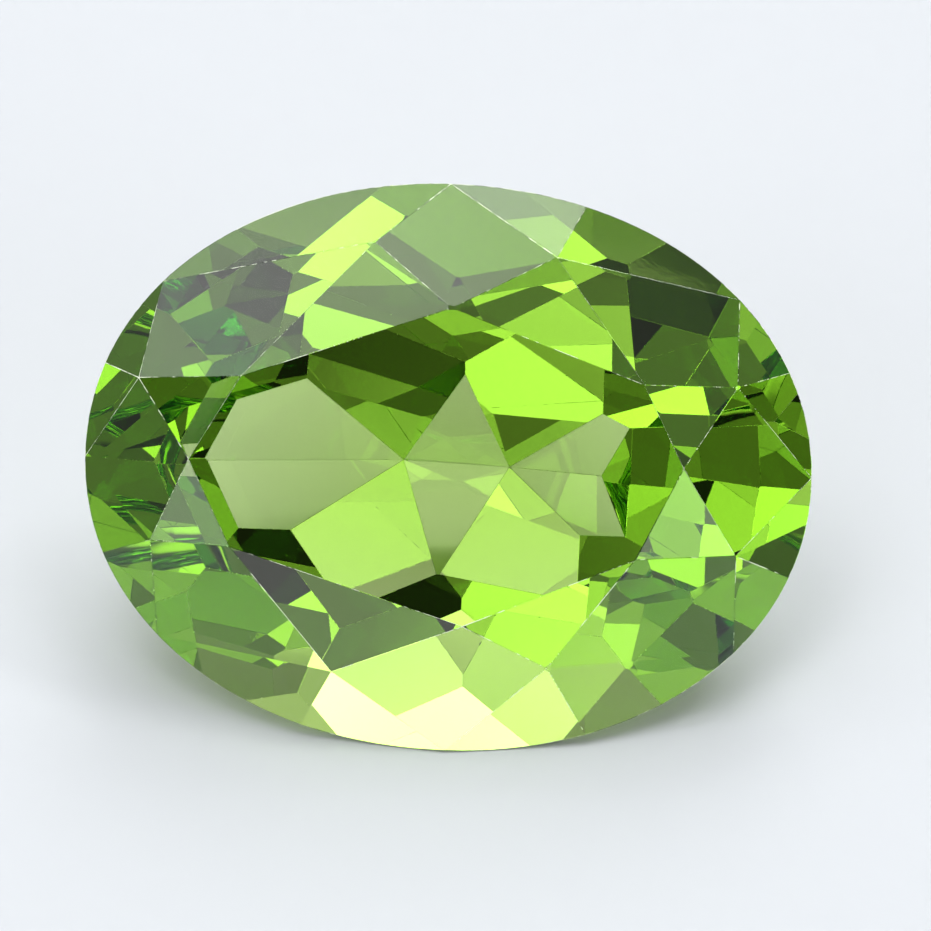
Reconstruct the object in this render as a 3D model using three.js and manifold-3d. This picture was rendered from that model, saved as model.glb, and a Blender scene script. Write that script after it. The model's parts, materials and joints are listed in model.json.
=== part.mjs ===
// Oval-cut peridot: a loose stone of 9 x 7 mm with a brilliant crown and a keeled pavilion.
// It is made as a lapidary makes it: every facet is a flat lap, ground in turn off a rough block,
// and the finished stone is then leaned onto the pavilion facet that it lies on.
// Millimetres and degrees. The facets are laid out with the table up and the long axis along X,
// and heights count from the middle of the girdle.

import * as THREE from 'three';
import { mergeVertices } from 'three/addons/utils/BufferGeometryUtils.js';
import Module from 'manifold-3d';

const manifold = await Module();
manifold.setup();

// Girdle: a slightly full oval, turned a little against the facets, ground round in short steps
const LENGTH = 9.0;
const WIDTH = 7.0;
const FULLNESS = 2.06;
const OUTLINE_TURN = -1.8;
const GIRDLE_STEPS = 144;
const GIRDLE_TOP = 0.035;
const GIRDLE_BOTTOM = -0.28;

// Crown: the table's corners and the outer tips of the star facets, from the right end
// anticlockwise, uneven as this hand-cut stone has them. A bezel's foot is where it ends on the
// girdle, as an angle around the outline
const TABLE_CORNERS = [
  [2.92, 0.05], [2.41, 1.07], [0.01, 1.96], [-2.57, 1.06],
  [-3.19, 0.02], [-2.66, -1.05], [0.24, -1.96], [2.35, -1.09],
];
const STAR_TIPS = [
  [3.56, 1.07], [1.29, 2.62], [-0.96, 2.76], [-3.84, 1.01],
  [-3.65, -0.99], [-1.37, -2.56], [1.29, -2.45], [3.58, -1.01],
];
const TABLE_HEIGHT = 0.785;
const END_STAR_HEIGHT = 0.445;
const SIDE_STAR_HEIGHT = 0.555;
const BEZEL_FEET = [0, 38, 90, 142, 180, 218, 270, 322];

// Pavilion: facets around a short keel that runs a little askew. A facet's tilt is from the table's
// plane, and its reach is how far from the keel its inner corner lies. The azimuths of a quarter
// count from its end of the stone towards its side, and the quarters are as uneven as the crown
const KEEL = { depth: 3.45, halfLength: 0.66, x: 0.07, y: 0.055, skew: -0.03 };
const FAR_CULET_TILT = 34.1;
const NEAR_CULET_TILT = 33.1;
const FAR_RIGHT = {
  arm: { tilt: 31.8, azimuth: 14.9 },
  kite: { tilt: 39, azimuth: 73.5 },
  diagonal: { tilt: 49.7, azimuth: 40.3, reach: 0.66 },
};
const FAR_LEFT = {
  arm: { tilt: 30.3, azimuth: 22.8 },
  kite: { tilt: 37.8, azimuth: 82.4 },
  diagonal: { tilt: 47.5, azimuth: 47.8, reach: 1.01 },
};
const NEAR_LEFT = {
  arm: { tilt: 29.9, azimuth: 24 },
  kite: { tilt: 36.5, azimuth: 73.4 },
  diagonal: { tilt: 47.2, azimuth: 60.6, reach: 0.88 },
};
const NEAR_RIGHT = {
  arm: { tilt: 31.1, azimuth: 17.7 },
  kite: { tilt: 35.9, azimuth: 83.5 },
  diagonal: { tilt: 42.8, azimuth: 51.9, reach: 0.86 },
};
const FAR_MAIN = { tilt: 48.2, azimuth: 88.5, reach: 1.23 };
const NEAR_MAIN = { tilt: 50.2, azimuth: 90, reach: 1.38 };
const RIGHT_MAIN = { tilt: 43.3, azimuth: -2, reach: 1.88 };
const LEFT_MAIN = { tilt: 37.2, azimuth: 5, reach: 3.72 };
const GIRDLE_BREAKS = [
  { tilt: 50.3, azimuth: 25, foot: 11.25 },
  { tilt: 51.4, azimuth: 49, foot: 33.75 },
  { tilt: 54.5, azimuth: 75.5, foot: 56.25 },
];

// The stone lies on its near side main, which leans the table by the same angle
const LEAN = NEAR_MAIN.tilt;

// The rough block and the lap, each large enough for every cut
const BLOCK_SIZE = 14;
const LAP_SIZE = 30;

// Corners nearer to each other than this are one corner, and a corner this near a plane is on it
const FINEST_EDGE = 0.004;
const ON_PLANE = 0.006;

const CRYSTAL_COLOUR = 0x9ccb32;
const POLISH = 0.04;
const UP = new THREE.Vector3(0, 0, 1);

// A point of the girdle outline
function girdlePoint(angle, height) {
  const a = THREE.MathUtils.degToRad(angle - OUTLINE_TURN);
  const full = (value) => Math.sign(value) * Math.abs(value) ** (2 / FULLNESS);
  const point = new THREE.Vector3(LENGTH / 2 * full(Math.cos(a)), WIDTH / 2 * full(Math.sin(a)), height);
  return point.applyAxisAngle(UP, THREE.MathUtils.degToRad(OUTLINE_TURN));
}

// The plane through three points, facing away from the stone's middle
function planeThrough(a, b, c) {
  const plane = new THREE.Plane().setFromCoplanarPoints(a, b, c);
  return plane.constant > 0 ? plane.negate() : plane;
}

// A pavilion plane through a point, mirrored to the side of X and of Y that is asked for
function pavilionPlane({ tilt, azimuth }, point, sideX, sideY) {
  const t = THREE.MathUtils.degToRad(tilt);
  const a = THREE.MathUtils.degToRad(azimuth);
  const outward = new THREE.Vector3(
    sideX * Math.sin(t) * Math.cos(a),
    sideY * Math.sin(t) * Math.sin(a),
    -Math.cos(t),
  );
  return new THREE.Plane().setFromNormalAndCoplanarPoint(outward, point);
}

// The point of a plane over or under a place of the table's plane
function pointOn(plane, x, y) {
  const { normal, constant } = plane;
  return new THREE.Vector3(x, y, -(constant + normal.x * x + normal.y * y) / normal.z);
}

function tablePlane() {
  return new THREE.Plane(UP.clone(), -TABLE_HEIGHT);
}

// A star facet along each side of the table, out to its tip
function starPlanes(corners, tips) {
  return tips.map((tip, i) => planeThrough(corners[i], corners[(i + 1) % corners.length], tip));
}

// A bezel facet at each corner of the table, between the star tips on both sides of it
function bezelPlanes(corners, tips) {
  return corners.map((corner, i) => planeThrough(corner, tips[i], tips.at(i - 1)));
}

// Two upper girdle facets under each star tip: each runs from the tip to the foot of a bezel
function upperGirdlePlanes(bezels, tips) {
  const feet = bezels.map((bezel, i) => {
    const { x, y } = girdlePoint(BEZEL_FEET[i], 0);
    return pointOn(bezel, x, y);
  });
  return tips.flatMap((tip, i) => {
    const under = THREE.MathUtils.radToDeg(Math.atan2(tip.y / WIDTH, tip.x / LENGTH));
    const meet = girdlePoint(under, GIRDLE_TOP);
    return [feet[i], feet[(i + 1) % feet.length]].map((foot) => planeThrough(tip, foot, meet));
  });
}

function crownPlanes() {
  const corners = TABLE_CORNERS.map(([x, y]) => new THREE.Vector3(x, y, TABLE_HEIGHT));
  const tips = STAR_TIPS.map(([x, y]) => {
    const atSide = Math.abs(y) > WIDTH / 4;
    return new THREE.Vector3(x, y, atSide ? SIDE_STAR_HEIGHT : END_STAR_HEIGHT);
  });
  const bezels = bezelPlanes(corners, tips);
  return [tablePlane(), ...starPlanes(corners, tips), ...bezels, ...upperGirdlePlanes(bezels, tips)];
}

function keelEnd(sideX) {
  return new THREE.Vector3(KEEL.x + sideX * KEEL.halfLength, KEEL.y + sideX * KEEL.skew, -KEEL.depth);
}

// The facets of one quarter: an arm and a kite at the keel, the diagonal main outside them, and
// three break facets along the girdle
function quarterPlanes({ arm, kite, diagonal }, sideX, sideY) {
  const start = keelEnd(sideX);
  const armPlane = pavilionPlane(arm, start, sideX, sideY);
  const kitePlane = pavilionPlane(kite, start, sideX, sideY);
  const ridge = new THREE.Vector3().crossVectors(armPlane.normal, kitePlane.normal);
  const along = (KEEL.y + sideY * diagonal.reach - start.y) / ridge.y;
  const inner = start.clone().addScaledVector(ridge, along);
  const breaks = GIRDLE_BREAKS.map((facet) => {
    const foot = THREE.MathUtils.degToRad(facet.foot);
    const around = Math.atan2(sideY * Math.sin(foot), sideX * Math.cos(foot));
    const point = girdlePoint(THREE.MathUtils.radToDeg(around), GIRDLE_BOTTOM);
    return pavilionPlane(facet, point, sideX, sideY);
  });
  return [armPlane, kitePlane, pavilionPlane(diagonal, inner, sideX, sideY), ...breaks];
}

// The two facets on one long side: the one along the keel, and the side main outside it
function sidePlanes(main, culetTilt, sideY) {
  const askew = THREE.MathUtils.radToDeg(Math.atan2(KEEL.skew, KEEL.halfLength));
  const culet = pavilionPlane({ tilt: culetTilt, azimuth: 90 + sideY * askew }, keelEnd(1), 1, sideY);
  const inner = pointOn(culet, KEEL.x, KEEL.y + sideY * main.reach);
  return [culet, pavilionPlane(main, inner, 1, sideY)];
}

// The end main, cut across the arm of the far quarter on its side
function endPlane(main, arm, sideX) {
  const armPlane = pavilionPlane(arm, keelEnd(sideX), sideX, 1);
  return pavilionPlane(main, pointOn(armPlane, KEEL.x + sideX * main.reach, KEEL.y), sideX, 1);
}

function pavilionPlanes() {
  return [
    ...quarterPlanes(FAR_RIGHT, 1, 1), ...quarterPlanes(FAR_LEFT, -1, 1),
    ...quarterPlanes(NEAR_LEFT, -1, -1), ...quarterPlanes(NEAR_RIGHT, 1, -1),
    ...sidePlanes(FAR_MAIN, FAR_CULET_TILT, 1), ...sidePlanes(NEAR_MAIN, NEAR_CULET_TILT, -1),
    endPlane(RIGHT_MAIN, FAR_RIGHT.arm, 1), endPlane(LEFT_MAIN, FAR_LEFT.arm, -1),
  ];
}

// The girdle's upright steps, each flat between two points of the outline
function girdlePlanes() {
  const step = 360 / GIRDLE_STEPS;
  return Array.from({ length: GIRDLE_STEPS }, (_, i) => {
    const start = girdlePoint(i * step, 0);
    const end = girdlePoint((i + 1) * step, 0);
    return planeThrough(start, end, start.clone().add(UP));
  });
}

function solidFrom(geometry) {
  geometry.deleteAttribute('normal');
  geometry.deleteAttribute('uv');
  const merged = mergeVertices(geometry);
  return new manifold.Manifold(new manifold.Mesh({
    numProp: 3,
    vertProperties: merged.attributes.position.array,
    triVerts: Uint32Array.from(merged.index.array),
  }));
}

// What one lap grinds off: a block that stands on the facet's plane
function waste(plane) {
  const block = new THREE.BoxGeometry(LAP_SIZE, LAP_SIZE, LAP_SIZE).translate(0, 0, LAP_SIZE / 2);
  block.applyQuaternion(new THREE.Quaternion().setFromUnitVectors(UP, plane.normal));
  const { x, y, z } = plane.coplanarPoint(new THREE.Vector3());
  return solidFrom(block.translate(x, y, z));
}

// The cut solid's corners, with those that all but touch taken as one, and its triangles
function cornersAndTriangles(solid) {
  const { vertProperties, triVerts } = solid.getMesh();
  const corners = [];
  const place = [];
  for (let i = 0; i < vertProperties.length; i += 3) {
    const point = new THREE.Vector3().fromArray(vertProperties, i);
    const known = corners.findIndex((corner) => corner.distanceTo(point) < FINEST_EDGE);
    place.push(known < 0 ? corners.push(point) - 1 : known);
  }
  const triangles = [];
  for (let i = 0; i < triVerts.length; i += 3) {
    const triangle = [place[triVerts[i]], place[triVerts[i + 1]], place[triVerts[i + 2]]];
    if (new Set(triangle).size === 3) {
      triangles.push(triangle);
    }
  }
  return { corners, triangles };
}

// The outline of each facet, as edges from corner to corner: an edge inside a facet is met twice,
// once each way, and drops out
function facetEdges(planes, corners, triangles) {
  const facets = planes.map(() => new Map());
  for (const triangle of triangles) {
    const owner = planes.findIndex((plane) => (
      triangle.every((corner) => Math.abs(plane.distanceToPoint(corners[corner])) < ON_PLANE)
    ));
    triangle.forEach((from, i) => {
      const to = triangle[(i + 1) % 3];
      const back = `${to} ${from}`;
      if (!facets[owner].delete(back)) {
        facets[owner].set(`${from} ${to}`, [from, to]);
      }
    });
  }
  return facets.map((edges) => [...edges.values()]).filter((edges) => edges.length > 2);
}

// Each facet as a fan of triangles around its middle
function stoneGeometry() {
  const planes = [...crownPlanes(), ...pavilionPlanes(), ...girdlePlanes()];
  const rough = solidFrom(new THREE.BoxGeometry(BLOCK_SIZE, BLOCK_SIZE, BLOCK_SIZE));
  const cut = planes.reduce((solid, plane) => solid.subtract(waste(plane)), rough);
  const { corners, triangles } = cornersAndTriangles(cut);
  const points = [];
  for (const edges of facetEdges(planes, corners, triangles)) {
    const middle = new THREE.Vector3();
    edges.forEach(([from]) => middle.addScaledVector(corners[from], 1 / edges.length));
    edges.forEach(([from, to]) => points.push(middle, corners[from], corners[to]));
  }
  const geometry = new THREE.BufferGeometry().setFromPoints(points);
  geometry.computeVertexNormals();
  return geometry;
}

function crystalMaterial() {
  return new THREE.MeshStandardMaterial({ color: CRYSTAL_COLOUR, roughness: POLISH, metalness: 0 });
}

// Leans the stone until its near side main faces straight down, and sets it on the surface
function layDown(mesh) {
  mesh.rotation.x = THREE.MathUtils.degToRad(LEAN);
  const box = new THREE.Box3().setFromObject(mesh, true);
  const middle = box.getCenter(new THREE.Vector3());
  mesh.position.set(-middle.x, -middle.y, -box.min.z);
}

const peridot = new THREE.Mesh(stoneGeometry(), crystalMaterial());
peridot.name = 'peridot';
layDown(peridot);

const stone = new THREE.Group();
stone.add(peridot);

export default stone;
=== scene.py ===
import json
import math
import random

import bmesh
import bpy
from mathutils import Matrix, Vector


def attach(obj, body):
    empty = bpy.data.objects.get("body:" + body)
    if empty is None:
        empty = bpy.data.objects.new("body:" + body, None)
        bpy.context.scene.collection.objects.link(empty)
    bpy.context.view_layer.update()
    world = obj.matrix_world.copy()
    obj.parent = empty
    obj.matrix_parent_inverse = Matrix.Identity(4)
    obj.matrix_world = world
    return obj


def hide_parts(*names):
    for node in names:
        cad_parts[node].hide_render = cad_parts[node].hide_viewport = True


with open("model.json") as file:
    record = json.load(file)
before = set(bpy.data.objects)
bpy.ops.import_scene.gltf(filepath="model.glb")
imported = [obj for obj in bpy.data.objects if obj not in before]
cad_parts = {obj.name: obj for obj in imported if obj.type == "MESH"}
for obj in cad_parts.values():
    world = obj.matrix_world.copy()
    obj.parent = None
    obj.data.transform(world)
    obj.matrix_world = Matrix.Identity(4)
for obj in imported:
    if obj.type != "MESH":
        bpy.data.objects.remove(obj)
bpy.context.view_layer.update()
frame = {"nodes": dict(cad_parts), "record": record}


# The cut stone
# One piece of peridot, ground and polished flat facet by facet, with nothing joined to it. Wear has
# rubbed each junction between its facets to a hair-fine line that narrows along its length, and
# dulled the corners where several facets meet. All sizes here are in millimetres.

MILLIMETRE = 0.001
ON_FACET = 0.003
BLOCK = 14
CUT_TOLERANCE = 1e-5
SHORTEST_WORN_EDGE = 0.03
BLUNTEST_JUNCTION = math.radians(4)
CROWN_WEAR = (0.005, 0.011)
PAVILION_WEAR = (0.003, 0.007)
GIRDLE_WEAR = (0.008, 0.014)
CORNER_WEAR = (0.002, 0.006)
WEAR_TAPER = 0.25
WEAR_SEED = 7
GIRDLE_UPRIGHT = 0.05
CLEAR, WORN = 0, 1

stone_node = frame["nodes"]["peridot"]
table_mount = next(m for m in frame["record"]["mounts"] if m["name"] == "table")
table_normal = Vector(table_mount["axis"]).normalized()


def lies_on(corners, normal, reach):
    return all(abs(normal.dot(corner) - reach) < ON_FACET for corner in corners)


def facets(node):
    """The flat facets of the node's mesh, each as its outward normal and how far out it lies."""
    corners = [vertex.co / MILLIMETRE for vertex in node.data.vertices]
    found = []
    for face in sorted(node.data.polygons, key=lambda face: -face.area):
        own = [corners[i] for i in face.vertices]
        if any(lies_on(own, normal, reach) for normal, reach in found):
            continue
        normal = (own[1] - own[0]).cross(own[2] - own[0]).normalized()
        reach = normal.dot(own[0])
        if all(normal.dot(corner) < reach + ON_FACET for corner in corners):
            found.append((normal, reach))
    return found


def grind(stone, point, normal, finish):
    """Takes off all that stands proud of a plane, and closes the stone with a flat face."""
    everything = stone.verts[:] + stone.edges[:] + stone.faces[:]
    cut = bmesh.ops.bisect_plane(stone, geom=everything, dist=CUT_TOLERANCE, plane_co=point,
                                 plane_no=normal, clear_outer=True)["geom_cut"]
    rim = [part for part in cut if isinstance(part, bmesh.types.BMEdge)]
    if len(rim) > 2:
        bmesh.ops.edgeloop_fill(stone, edges=rim, mat_nr=finish)


def ground_stone(node):
    """The node's stone in millimetres, cut facet by facet from a block."""
    stone = bmesh.new()
    bmesh.ops.create_cube(stone, size=BLOCK)
    for normal, reach in facets(node):
        grind(stone, normal * reach, normal, CLEAR)
    stone.normal_update()
    return stone


def junctions(stone):
    """Every edge between two facets as its ends and the facets' normals."""
    found = []
    for edge in stone.edges:
        first, second = (face.normal.copy() for face in edge.link_faces)
        if edge.calc_length() > SHORTEST_WORN_EDGE and first.angle(second) > BLUNTEST_JUNCTION:
            found.append((edge.verts[0].co.copy(), edge.verts[1].co.copy(), first, second))
    return found


def wear_range(first, second):
    """How wide the matt line between two facets is, by where on the stone it runs."""
    heights = sorted((first.dot(table_normal), second.dot(table_normal)))
    if heights[0] < GIRDLE_UPRIGHT and heights[1] > -GIRDLE_UPRIGHT:
        return GIRDLE_WEAR
    return CROWN_WEAR if heights[0] > 0 else PAVILION_WEAR


def wear_junctions(stone, lines, chance):
    for start, end, first, second in lines:
        width = chance.uniform(*wear_range(first, second))
        depth = width / 2 * math.tan(first.angle(second) / 2)
        across = (first + second).normalized()
        along = (end - start).normalized()
        lean = chance.uniform(-WEAR_TAPER, WEAR_TAPER) * 2 * depth / (end - start).length
        grind(stone, (start + end) / 2 - across * depth, (across + along * lean).normalized(), WORN)


def wear_corners(stone, corners, chance):
    for place, normal in corners:
        grind(stone, place - normal * chance.uniform(*CORNER_WEAR), normal, WORN)


def meeting_corners(stone):
    """Every corner where more than three facets meet, with the way that it points."""
    found = []
    for corner in stone.verts:
        if len(corner.link_faces) > 3:
            faces = sum((face.normal for face in corner.link_faces), Vector())
            found.append((corner.co.copy(), faces.normalized()))
    return found


def round_girdle(stone):
    """Shades the girdle's narrow flats as one round wall, as on the turned stone."""
    for face in stone.faces:
        face.smooth = abs(face.normal.dot(table_normal)) < GIRDLE_UPRIGHT and face.material_index == CLEAR


def mesh_from(shape, name):
    """A mesh in metres from a shape in millimetres."""
    bmesh.ops.scale(shape, vec=Vector((1, 1, 1)) * MILLIMETRE, verts=shape.verts)
    shape.normal_update()
    mesh = bpy.data.meshes.new(name)
    shape.to_mesh(mesh)
    shape.free()
    return mesh


chance = random.Random(WEAR_SEED)
stone = ground_stone(stone_node)
stone_junctions = junctions(stone)
stone_corners = meeting_corners(stone)
wear_junctions(stone, stone_junctions, chance)
wear_corners(stone, stone_corners, chance)
round_girdle(stone)
stone_piece = bpy.data.objects.new("peridot_stone", mesh_from(stone, "peridot_stone"))
bpy.context.scene.collection.objects.link(stone_piece)


# Crystal finish
# Clear yellow-green crystal with a high polish. Its colour is all in its depth, so it comes from
# absorption. The lap has left polishing lines two hundredths of a micron deep on its facets.

REFRACTIVE_INDEX = 1.682
ABSORPTION_PER_METRE = 400
PASSED_LIGHT = (0.625, 0.825, 0.1, 1)
LAP_LINES = 9000
LAP_STRETCH = 40
LAP_TURN = (0.4, 0.7, 0.9)
LAP_DETAIL = 2
LAP_DEPTH = 0.00000002


class Reading:
    """A socket of a node that sums can be written with."""

    def __init__(self, recipe, socket):
        self.recipe = recipe
        self.socket = socket

    def sum_of(self, operation, first, second):
        return self.recipe.node("ShaderNodeMath", {"operation": operation}, {0: first, 1: second})

    def __add__(self, other):
        return self.sum_of("ADD", self, other)

    def __radd__(self, other):
        return self.sum_of("ADD", other, self)

    def __sub__(self, other):
        return self.sum_of("SUBTRACT", self, other)

    def __mul__(self, other):
        return self.sum_of("MULTIPLY", self, other)


class Recipe:
    """The nodes of a finish, of a spread of flakes or of the light around the stone."""

    def __init__(self, tree):
        self.tree = tree
        tree.nodes.clear()

    def node(self, kind, settings=None, values=None, output=0):
        made = self.tree.nodes.new(kind)
        for name, setting in (settings or {}).items():
            setattr(made, name, setting)
        for name, value in (values or {}).items():
            if isinstance(value, Reading):
                self.tree.links.new(value.socket, made.inputs[name])
            else:
                made.inputs[name].default_value = value
        return Reading(self, made.outputs[output]) if made.outputs else made


def new_finish(name):
    material = bpy.data.materials.new(name)
    material.use_nodes = True
    return material, Recipe(material.node_tree)


def fill_with_crystal(finish, surface):
    """Ends a finish with the crystal's own colour below its surface."""
    depth = finish.node("ShaderNodeVolumeAbsorption", values={
        "Color": PASSED_LIGHT, "Density": ABSORPTION_PER_METRE})
    finish.node("ShaderNodeOutputMaterial", values={"Surface": surface, "Volume": depth})


def crystal_finish():
    material, finish = new_finish("peridot_crystal")
    place = finish.node("ShaderNodeTexCoord", output="Object")
    along_lap = finish.node("ShaderNodeMapping", values={
        "Vector": place, "Rotation": LAP_TURN, "Scale": (LAP_LINES, LAP_LINES / LAP_STRETCH, LAP_LINES)})
    lines = finish.node("ShaderNodeTexNoise", values={
        "Vector": along_lap, "Scale": 1, "Detail": LAP_DETAIL})
    polish = finish.node("ShaderNodeBump", output="Normal", values={
        "Height": lines, "Strength": 1, "Distance": LAP_DEPTH})
    surface = finish.node("ShaderNodeBsdfPrincipled", values={
        "Base Color": (1, 1, 1, 1), "Roughness": 0, "IOR": REFRACTIVE_INDEX, "Transmission Weight": 1,
        "Normal": polish})
    fill_with_crystal(finish, surface)
    return material


# Rubbed junctions are clear in most places, and frosted in short stretches. Both patterns' scales
# are in repeats per metre.
NICK_SCALE = 9000
STRETCH_SCALE = 900
NICK_DETAIL = 4
FROST_START, FROST_FULL = 0.5, 0.6
RUBBED_ROUGHNESS = 0.1
FROSTED_ROUGHNESS = 0.6
FROSTED_COLOUR = (0.8, 0.86, 0.7, 1)


def worn_finish():
    material, finish = new_finish("worn_junction")
    place = finish.node("ShaderNodeTexCoord", output="Object")
    nicks = finish.node("ShaderNodeTexNoise", values={
        "Vector": place, "Scale": NICK_SCALE, "Detail": NICK_DETAIL})
    stretches = finish.node("ShaderNodeTexNoise", values={
        "Vector": place, "Scale": STRETCH_SCALE, "Detail": 1})
    matt = finish.node("ShaderNodeMapRange", {"interpolation_type": "SMOOTHSTEP"}, {
        "Value": (nicks + stretches) * 0.5, "From Min": FROST_START, "From Max": FROST_FULL}, "Result")
    clear = finish.node("ShaderNodeBsdfPrincipled", values={
        "Base Color": (1, 1, 1, 1), "Roughness": RUBBED_ROUGHNESS, "IOR": REFRACTIVE_INDEX,
        "Transmission Weight": 1})
    frosted = finish.node("ShaderNodeBsdfPrincipled", values={
        "Base Color": FROSTED_COLOUR, "Roughness": FROSTED_ROUGHNESS, "IOR": REFRACTIVE_INDEX})
    surface = finish.node("ShaderNodeMixShader", values={"Fac": matt, 1: clear, 2: frosted})
    fill_with_crystal(finish, surface)
    return material


stone_piece.data.materials.append(crystal_finish())
stone_piece.data.materials.append(worn_finish())
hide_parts("peridot")
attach(stone_piece, "root")


# Knocked edges
# Tiny flakes have broken out where the facets meet, and their places stay white and matt. Most of
# them lie together on a few knocked stretches, and the others singly along all the edges. Their
# sizes are in millimetres.

CROWN_SIDE, PAVILION_SIDE = 1, -1
GIRDLE_HEIGHT = -0.8
KNOCK_STEP = 0.05
STRAY_FLAKES = 0.015
FLAKE_SPACING = 0.012
FLAKE_REACH = (0.003, 0.009)
FLAKE_UNEVENNESS = 0.6
DENT_SCALE = 1.3
BRUISE_SCALE = 20000
BRUISE_DEEP = (0.45, 0.65, 0.25, 1)
BRUISE_PALE = (0.9, 0.95, 0.75, 1)
BRUISE_ROUGHNESS = 0.7

# The middle of each knocked stretch in millimetres from the table's middle, how far it reaches,
# how thickly its flakes lie, and the side of the girdle that it is on
KNOCKS = {
    "table edge, far left": (-1.45, 1.5, 0.75, 0.5, CROWN_SIDE),
    "left end star": (-3.35, -0.6, 0.6, 0.6, CROWN_SIDE),
    "right crown": (3.0, 0.2, 0.6, 0.25, CROWN_SIDE),
    "upper right crown": (3.9, 1.0, 0.6, 0.3, CROWN_SIDE),
    "lower crown": (1.5, -2.7, 0.6, 0.35, CROWN_SIDE),
    "lower middle": (1.85, 0.0, 0.25, 0.3, CROWN_SIDE),
    "left arm, far": (-2.1, 1.0, 0.6, 0.6, PAVILION_SIDE),
    "left arm, near": (-2.2, -0.75, 0.6, 0.5, PAVILION_SIDE),
    "left end": (-2.85, 0.1, 0.4, 0.5, PAVILION_SIDE),
    "near right": (2.05, -1.2, 0.4, 0.4, PAVILION_SIDE),
    "keel end": (-0.45, 0.15, 0.12, 0.5, PAVILION_SIDE),
}


def knocked_share(place):
    """How thickly flakes lie at a place in millimetres, from the knocks that reach it."""
    from_table = place - Vector(table_mount["pos_m"]) / MILLIMETRE
    across, up = from_table.x, from_table.dot(table_normal.cross(Vector((1, 0, 0))))
    side = CROWN_SIDE if from_table.dot(table_normal) > GIRDLE_HEIGHT else PAVILION_SIDE
    shares = [share * max(0, 1 - math.hypot(across - x, up - y) / reach)
              for x, y, reach, share, own_side in KNOCKS.values() if own_side == side]
    return max(shares + [STRAY_FLAKES])


def junction_lines():
    """The stone's junctions as lines of short steps, with how knocked each point is."""
    lines = bmesh.new()
    knocked = lines.verts.layers.float.new("knocked")
    for start, end, _, _ in stone_junctions:
        steps = max(1, round((end - start).length / KNOCK_STEP))
        before = None
        for i in range(steps + 1):
            place = start.lerp(end, i / steps)
            point = lines.verts.new(place)
            point[knocked] = knocked_share(place)
            if before:
                lines.edges.new((before, point))
            before = point
    return mesh_from(lines, "junction_lines")


def flake_recipe(finish):
    """Spreads flakes of uneven shape over lines, as thickly as the lines are knocked."""
    tree = bpy.data.node_groups.new("flakes", "GeometryNodeTree")
    for way, kind, name in (("INPUT", "Geometry", "Lines"), ("INPUT", "Float", "Spacing"),
                            ("INPUT", "Float", "Smallest"), ("INPUT", "Float", "Largest"),
                            ("INPUT", "Float", "Unevenness"), ("INPUT", "Int", "Seed"),
                            ("OUTPUT", "Geometry", "Flakes")):
        tree.interface.new_socket(name, in_out=way, socket_type=f"NodeSocket{kind}")
    spread = Recipe(tree)

    def given(name):
        return spread.node("NodeGroupInput", output=name)

    curves = spread.node("GeometryNodeMeshToCurve", values={"Mesh": given("Lines")})
    steps = spread.node("GeometryNodeResampleCurve", {"mode": "LENGTH"},
                        {"Curve": curves, "Length": given("Spacing")})
    places = spread.node("GeometryNodeCurveToPoints", {"mode": "EVALUATED"}, {"Curve": steps})
    knocked = spread.node("GeometryNodeInputNamedAttribute", values={"Name": "knocked"})
    flaked = spread.node("FunctionNodeRandomValue", {"data_type": "BOOLEAN"},
                         {"Probability": knocked, "Seed": given("Seed")}, 3)
    shape = spread.node("GeometryNodeMeshIcoSphere", values={"Radius": 1, "Subdivisions": 1})
    dent = spread.node("ShaderNodeTexNoise", values={"Scale": DENT_SCALE}, output="Fac")
    push = spread.node("ShaderNodeVectorMath", {"operation": "SCALE"}, {
        0: spread.node("GeometryNodeInputPosition"), "Scale": (dent - 0.5) * given("Unevenness")})
    flake = spread.node("GeometryNodeSetPosition", values={"Geometry": shape, "Offset": push})
    turn = spread.node("FunctionNodeRandomValue", {"data_type": "FLOAT_VECTOR"},
                       {1: (math.tau, math.tau, math.tau), "Seed": given("Seed")}, 0)
    size = spread.node("FunctionNodeRandomValue", {"data_type": "FLOAT"},
                       {2: given("Smallest"), 3: given("Largest"), "Seed": given("Seed")}, 1)
    flakes = spread.node("GeometryNodeInstanceOnPoints", values={
        "Points": places, "Selection": flaked, "Instance": flake, "Rotation": turn, "Scale": size})
    real = spread.node("GeometryNodeRealizeInstances", values={"Geometry": flakes})
    finished = spread.node("GeometryNodeSetMaterial", values={"Geometry": real, "Material": finish})
    spread.node("NodeGroupOutput", values={"Flakes": finished})
    return tree


def bruised_finish():
    material, finish = new_finish("bruised_crystal")
    place = finish.node("ShaderNodeTexCoord", output="Object")
    depth = finish.node("ShaderNodeTexNoise", values={
        "Vector": place, "Scale": BRUISE_SCALE, "Detail": 1})
    colour = finish.node("ShaderNodeMix", {"data_type": "RGBA"}, {
        "Factor": depth, 6: BRUISE_DEEP, 7: BRUISE_PALE}, 2)
    surface = finish.node("ShaderNodeBsdfPrincipled", values={
        "Base Color": colour, "Roughness": BRUISE_ROUGHNESS})
    finish.node("ShaderNodeOutputMaterial", values={"Surface": surface})
    return material


def flakes_along(lines):
    """The flakes as one plain mesh."""
    bruised = bruised_finish()
    maker = bpy.data.objects.new("flake_lines", lines)
    bpy.context.scene.collection.objects.link(maker)
    spread = maker.modifiers.new("flakes", "NODES")
    spread.node_group = flake_recipe(bruised)
    smallest, largest = FLAKE_REACH
    sizes = {"Spacing": FLAKE_SPACING * MILLIMETRE, "Smallest": smallest * MILLIMETRE,
             "Largest": largest * MILLIMETRE, "Unevenness": FLAKE_UNEVENNESS, "Seed": WEAR_SEED}
    for socket in spread.node_group.interface.items_tree:
        if socket.name in sizes:
            spread[socket.identifier] = sizes[socket.name]
    shown = maker.evaluated_get(bpy.context.evaluated_depsgraph_get())
    mesh = bpy.data.meshes.new_from_object(shown)
    bpy.data.objects.remove(maker)
    return mesh


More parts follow.
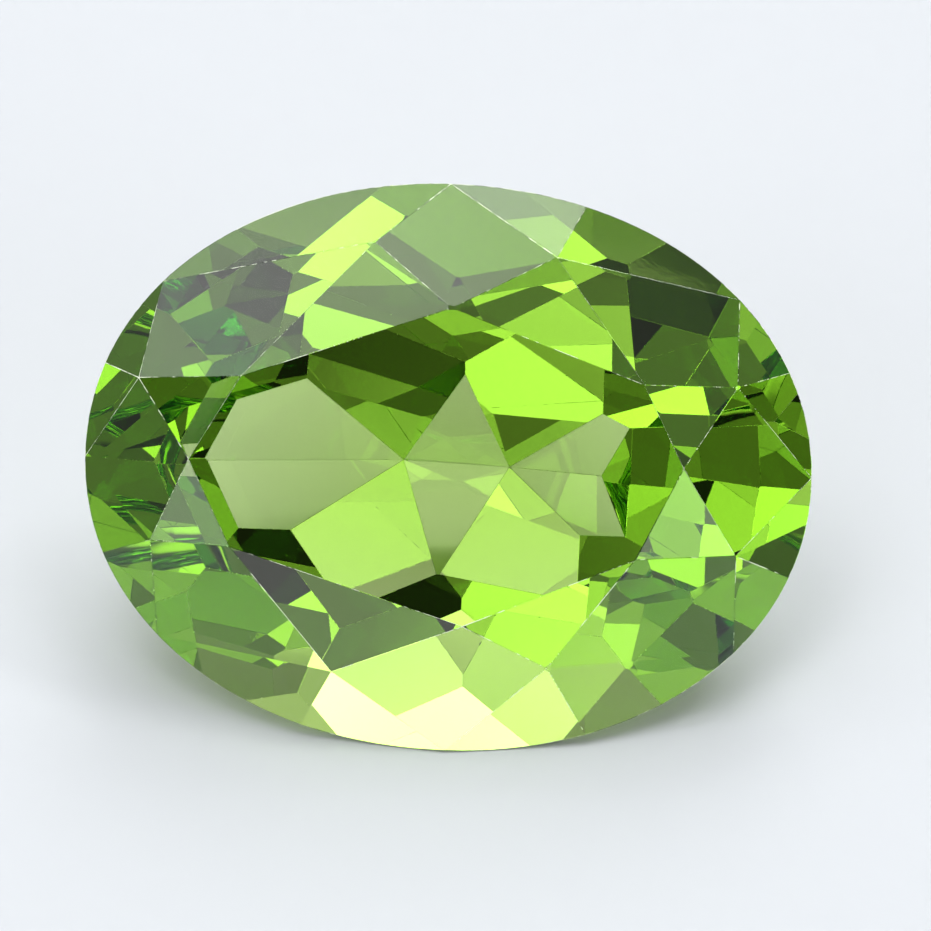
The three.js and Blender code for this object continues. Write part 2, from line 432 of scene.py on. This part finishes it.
knocked_edges = bpy.data.objects.new("knocked_edges", flakes_along(junction_lines()))
bpy.context.scene.collection.objects.link(knocked_edges)
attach(knocked_edges, "root")


# Table top
# A plain pale sheet of matt card under the stone, cut wide enough to fill the view from every side.
# Sizes from here on are in metres.

FLOOR_HALF = 1.5
FLOOR_DROP = 0.000004
FLOOR_ROUGHNESS = 0.7
FLOOR_SHEEN = 0.2
FLOOR_COLOUR = (0.617, 0.643, 0.677, 1)


def pale_floor():
    sheet = bmesh.new()
    bmesh.ops.create_grid(sheet, x_segments=1, y_segments=1, size=FLOOR_HALF)
    mesh = bpy.data.meshes.new("floor")
    sheet.to_mesh(mesh)
    sheet.free()
    mesh.transform(Matrix.Translation((0, 0, -FLOOR_DROP)))
    material, finish = new_finish("pale_floor")
    surface = finish.node("ShaderNodeBsdfPrincipled", values={
        "Base Color": FLOOR_COLOUR, "Roughness": FLOOR_ROUGHNESS, "Specular IOR Level": FLOOR_SHEEN})
    finish.node("ShaderNodeOutputMaterial", values={"Surface": surface})
    mesh.materials.append(material)
    return bpy.data.objects.new("floor", mesh)


floor = pale_floor()
bpy.context.scene.collection.objects.link(floor)


# Studio light
# A dim room around a white table top. Soft lamps and white sheets stand around the stone, and its
# facets pick them up one by one. Dark screens stand between them. The light passes through many
# facets in turn, so it is followed for many bounces.

ROOM_GLOW = 0.28
DARKEST = 0.02
LIGHT_BOUNCES = 32

# How wide each kind of lamp looks from the stone, in degrees from its middle to its soft rim, and
# the shares of that at which the rim begins and ends
SPOT = 6
LAMP = 9
SOFTBOX = 12
SHEET = 18
WALL = 30
RIM_START, RIM_END = 0.6, 1.4

# Each one's middle in degrees round from +X and up, its kind, and how bright it is. A screen has
# the size of a softbox, and takes light away.
LAMPS = {
    "right spot": (15, 57, SPOT, 9),
    "far softbox": (85, 45, SOFTBOX, 4.5),
    "overhead far softbox": (55, 72, SOFTBOX, 4.5),
    "overhead left lamp": (-120, 72, LAMP, 3.5),
    "overhead right lamp": (-30, 73, LAMP, 2.5),
    "low left spot": (-175, 14, SPOT, 3.5),
    "near left spot": (-113, 51, SPOT, 2.5),
    "near right softbox": (-45, 23, SOFTBOX, 2.5),
    "near spot": (-110, 37, SPOT, 2),
    "near right spot": (-63, 42, SPOT, 2),
    "near left softbox": (-130, 35, SOFTBOX, 2),
    "low near left lamp": (-138, 10, LAMP, 2),
    "far left lamp": (130, 55, LAMP, 1.5),
    "high left sheet": (-150, 70, SHEET, 1.5),
    "low near softbox": (-100, 7, SOFTBOX, 1),
    "left sheet": (165, 50, SHEET, 0.7),
    "far wall": (85, 30, WALL, 0.6),
    "left screen": (-155, 45, SOFTBOX, -0.7),
    "right screen": (-25, 32, SOFTBOX, -0.7),
    "near screen": (-90, 41, SOFTBOX, -0.5),
}


def lamp_glow(finish, way, azimuth, elevation, width, brightness):
    turn = (Matrix.Rotation(math.radians(azimuth), 3, "Z")
            @ Matrix.Rotation(math.radians(-elevation), 3, "Y"))
    nearness = finish.node("ShaderNodeVectorMath", {"operation": "DOT_PRODUCT"},
                           {0: way, 1: turn @ Vector((1, 0, 0))}, "Value")
    shine = finish.node("ShaderNodeMapRange", {"interpolation_type": "SMOOTHSTEP"}, {
        "Value": nearness, "From Min": math.cos(math.radians(width * RIM_END)),
        "From Max": math.cos(math.radians(width * RIM_START))}, "Result")
    return shine * brightness


def studio_light():
    world = bpy.data.worlds.new("studio")
    world.use_nodes = True
    finish = Recipe(world.node_tree)
    way = finish.node("ShaderNodeTexCoord", output="Generated")
    glow = sum((lamp_glow(finish, way, *lamp) for lamp in LAMPS.values()), ROOM_GLOW)
    lit = finish.node("ShaderNodeMath", {"operation": "MAXIMUM"}, {0: glow, 1: DARKEST})
    background = finish.node("ShaderNodeBackground", values={"Color": (1, 1, 1, 1), "Strength": lit})
    finish.node("ShaderNodeOutputWorld", values={"Surface": background})
    return world


scene = bpy.context.scene
scene.world = studio_light()
scene.view_settings.view_transform = "Standard"
scene.cycles.sampling_pattern = "TABULATED_SOBOL"
scene.cycles.max_bounces = LIGHT_BOUNCES
scene.cycles.transmission_bounces = LIGHT_BOUNCES
scene.cycles.glossy_bounces = LIGHT_BOUNCES


# Camera
# A long lens that looks almost square onto the table of the leaning stone, from a little to its
# right, with the picture's middle just right of the table's middle.

CAMERA_AZIMUTH = math.radians(1.36)
CAMERA_DIP = math.radians(0.13)
CAMERA_ROLL = math.radians(0.57)
CAMERA_DISTANCE = 0.1992
AIM_RIGHT = 0.000328
AIM_UP = 0.000014
LENS_MM = 625
SENSOR_MM = 36
NEAREST_SEEN = CAMERA_DISTANCE / 10
FARTHEST_SEEN = FLOOR_HALF * 2

long_axis = Vector((1, 0, 0))
short_axis = table_normal.cross(long_axis)
aim = Vector(table_mount["pos_m"]) + long_axis * AIM_RIGHT + short_axis * AIM_UP
elevation = math.asin(table_normal.z) - CAMERA_DIP
towards_camera = Vector((math.sin(CAMERA_AZIMUTH) * math.cos(elevation),
                         -math.cos(CAMERA_AZIMUTH) * math.cos(elevation),
                         math.sin(elevation)))
camera_data = bpy.data.cameras.new("camera")
camera_data.lens = LENS_MM
camera_data.sensor_width = SENSOR_MM
camera_data.clip_start = NEAREST_SEEN
camera_data.clip_end = FARTHEST_SEEN
camera = bpy.data.objects.new("camera", camera_data)
camera.matrix_world = (Matrix.Translation(aim + towards_camera * CAMERA_DISTANCE)
                       @ towards_camera.to_track_quat("Z", "Y").to_matrix().to_4x4()
                       @ Matrix.Rotation(CAMERA_ROLL, 4, "Z"))
scene.collection.objects.link(camera)
scene.camera = camera

bpy.context.view_layer.update()
